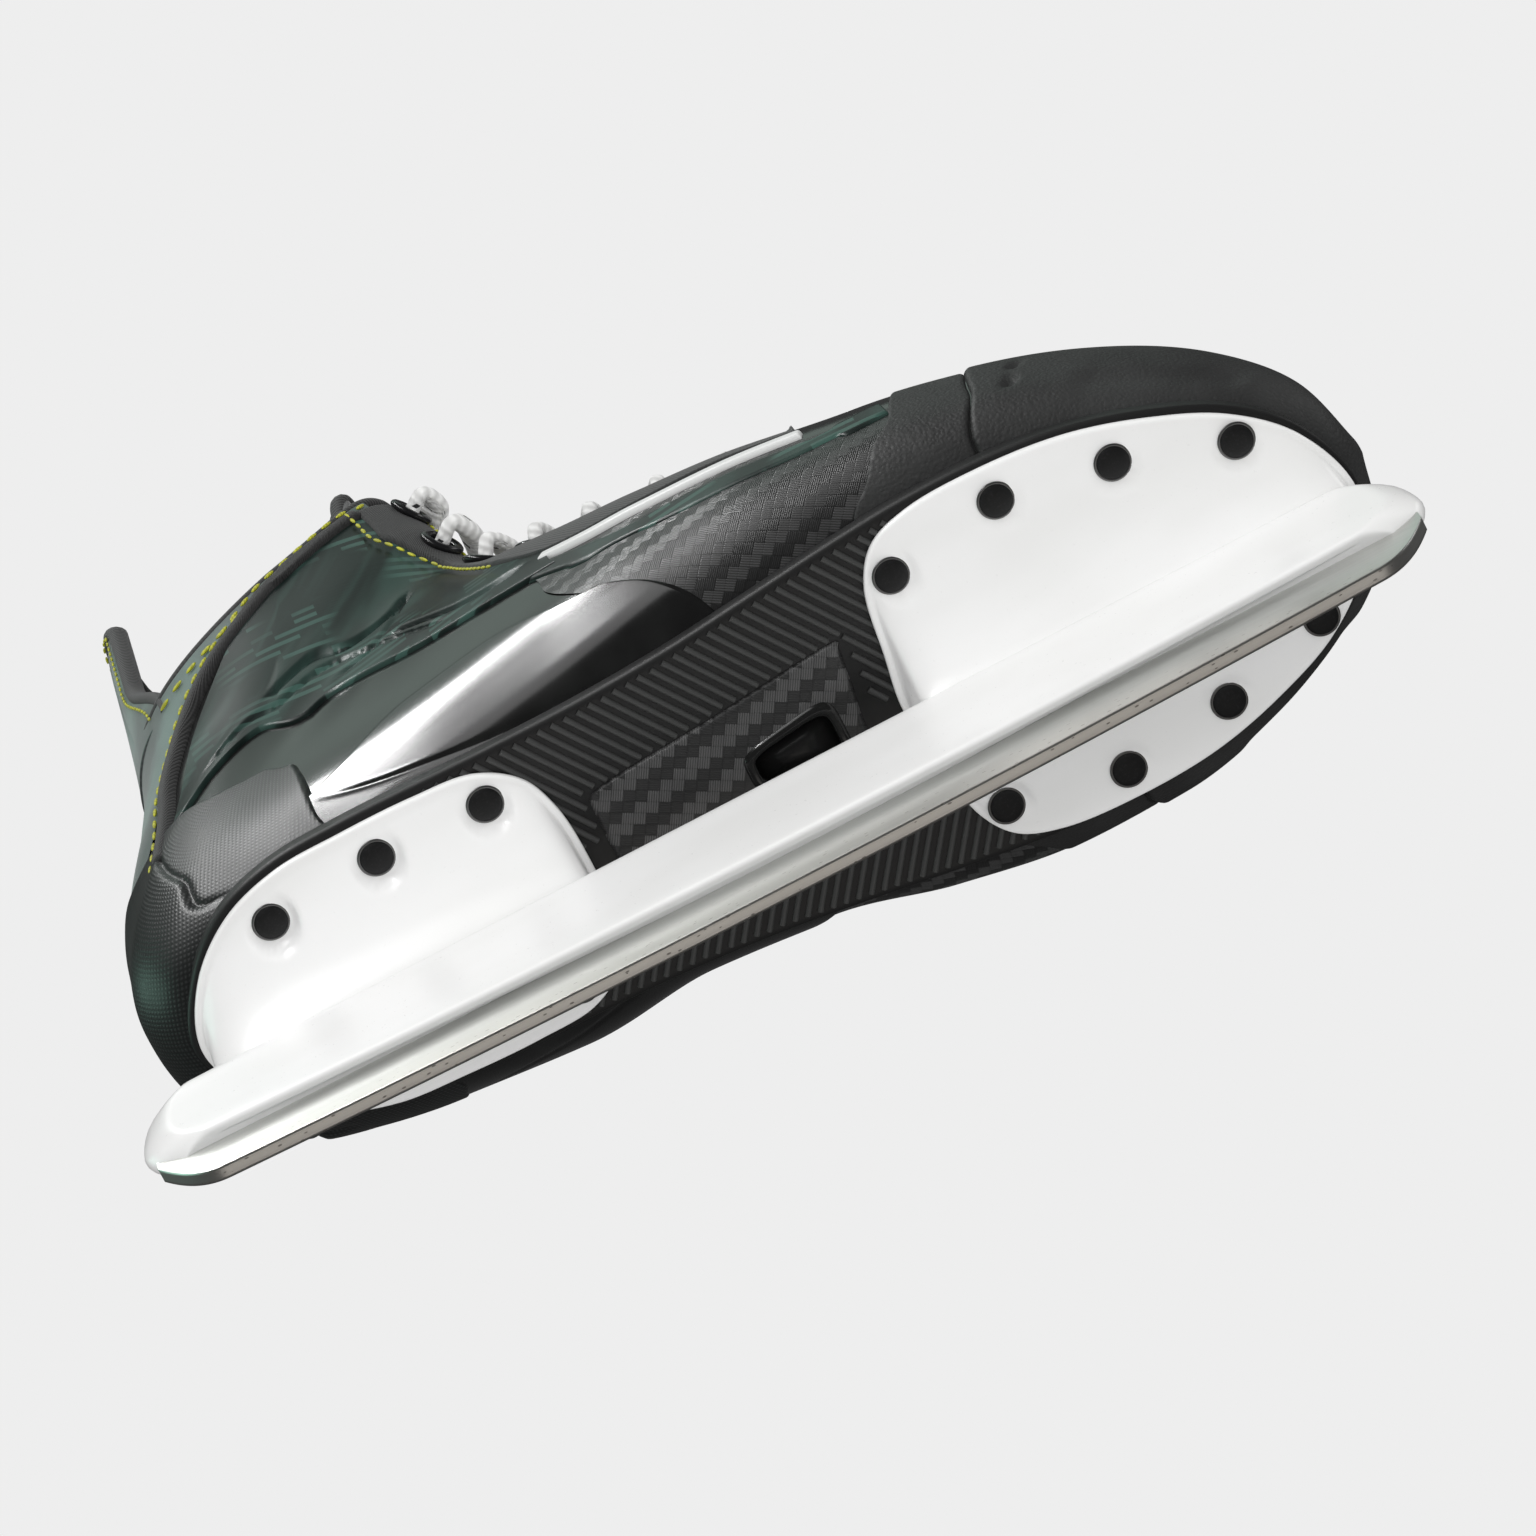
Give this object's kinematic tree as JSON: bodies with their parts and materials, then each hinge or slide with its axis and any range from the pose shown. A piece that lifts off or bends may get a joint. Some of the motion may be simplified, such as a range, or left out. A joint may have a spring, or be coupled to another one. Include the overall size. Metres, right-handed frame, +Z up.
{
  "type": "ice hockey skate",
  "caption": "Right-foot ice hockey skate: moulded boot with laced throat, stiff toe cap, tendon guard, riveted two-tower blade holder and steel runner held by studs.",
  "frame": {"origin": "middle of the runner's lowest flat, on the ice", "axes": "+X to the toe, +Y to the inner side of the foot, +Z up from the ice"},
  "size_m": [0.28, 0.101, 0.2959],
  "materials": {
    "shell_black": "smooth gloss, dark green-black quarter above",
    "outsole_composite": "woven composite under clear coat",
    "vent_black": "matte",
    "toe_grain": "fine leather grain",
    "heel_weave": "fine knit",
    "eyestay_fabric": "ribbed with a stitched edge",
    "eyelet_black": "gloss",
    "liner_fabric": "brushed",
    "footbed_foam": "matte foam",
    "tongue_felt": "felt",
    "guard_green": "satin, piped edge",
    "lace_white": "flat weave",
    "holder_white": "gloss",
    "runner_steel": "lengthwise brushed",
    "fastener_steel": "plain",
    "rivet_dark": "dark, brighter rim"
  },
  "bodies": {
    "boot": {"blade_holder": "holder_white", "boot_shell": "shell_black", "eyelet_lateral_1": "eyelet_black", "eyelet_lateral_2": "eyelet_black", "eyelet_lateral_3": "eyelet_black", "eyelet_lateral_4": "eyelet_black", "eyelet_lateral_5": "eyelet_black", "eyelet_lateral_6": "eyelet_black", "eyelet_lateral_7": "eyelet_black", "eyelet_lateral_8": "eyelet_black", "eyelet_medial_1": "eyelet_black", "eyelet_medial_2": "eyelet_black", "eyelet_medial_3": "eyelet_black", "eyelet_medial_4": "eyelet_black", "eyelet_medial_5": "eyelet_black", "eyelet_medial_6": "eyelet_black", "eyelet_medial_7": "eyelet_black", "eyelet_medial_8": "eyelet_black", "eyestay_lateral": "eyestay_fabric", "eyestay_medial": "eyestay_fabric", "footbed": "footbed_foam", "forefoot_wrap_lateral": "toe_grain", "forefoot_wrap_medial": "toe_grain", "heel_wrap": "heel_weave", "lace": "lace_white", "liner": "liner_fabric", "nut_front": "fastener_steel", "nut_rear": "fastener_steel", "outsole": "outsole_composite", "rivet_front_lateral_1": "rivet_dark", "rivet_front_lateral_2": "rivet_dark", "rivet_front_lateral_3": "rivet_dark", "rivet_front_lateral_4": "rivet_dark", "rivet_front_medial_1": "rivet_dark", "rivet_front_medial_2": "rivet_dark", "rivet_front_medial_3": "rivet_dark", "rivet_front_medial_4": "rivet_dark", "rivet_heel_lateral_1": "rivet_dark", "rivet_heel_lateral_2": "rivet_dark", "rivet_heel_lateral_3": "rivet_dark", "rivet_heel_medial_1": "rivet_dark", "rivet_heel_medial_2": "rivet_dark", "rivet_heel_medial_3": "rivet_dark", "toe_cap": "toe_grain", "tongue_lower": "tongue_felt", "vent_frame": "vent_black"},
    "runner_unit": {"runner": "runner_steel", "stud_front": "fastener_steel", "stud_rear": "fastener_steel"},
    "tongue_flap": {"tongue_upper": "tongue_felt"},
    "guard": {"tendon_guard": "guard_green"}
  },
  "joints": [
    {"name": "runner_release", "type": "slide", "parent": "boot", "child": "runner_unit", "axis": [0, 0, -1], "range_m": [0, 0.06]},
    {"name": "tongue_flex", "type": "hinge", "parent": "boot", "child": "tongue_flap", "pos_m": [-0.0479, 0, 0.2256], "axis": [0, 1, 0], "range_deg": [0, 70], "stiffness_Nm_per_rad": 0.05},
    {"name": "tendon_guard_flex", "type": "hinge", "parent": "boot", "child": "guard", "pos_m": [-0.1175, 0, 0.1861], "axis": [0, -1, 0], "range_deg": [0, 30], "stiffness_Nm_per_rad": 0.5}
  ]
}
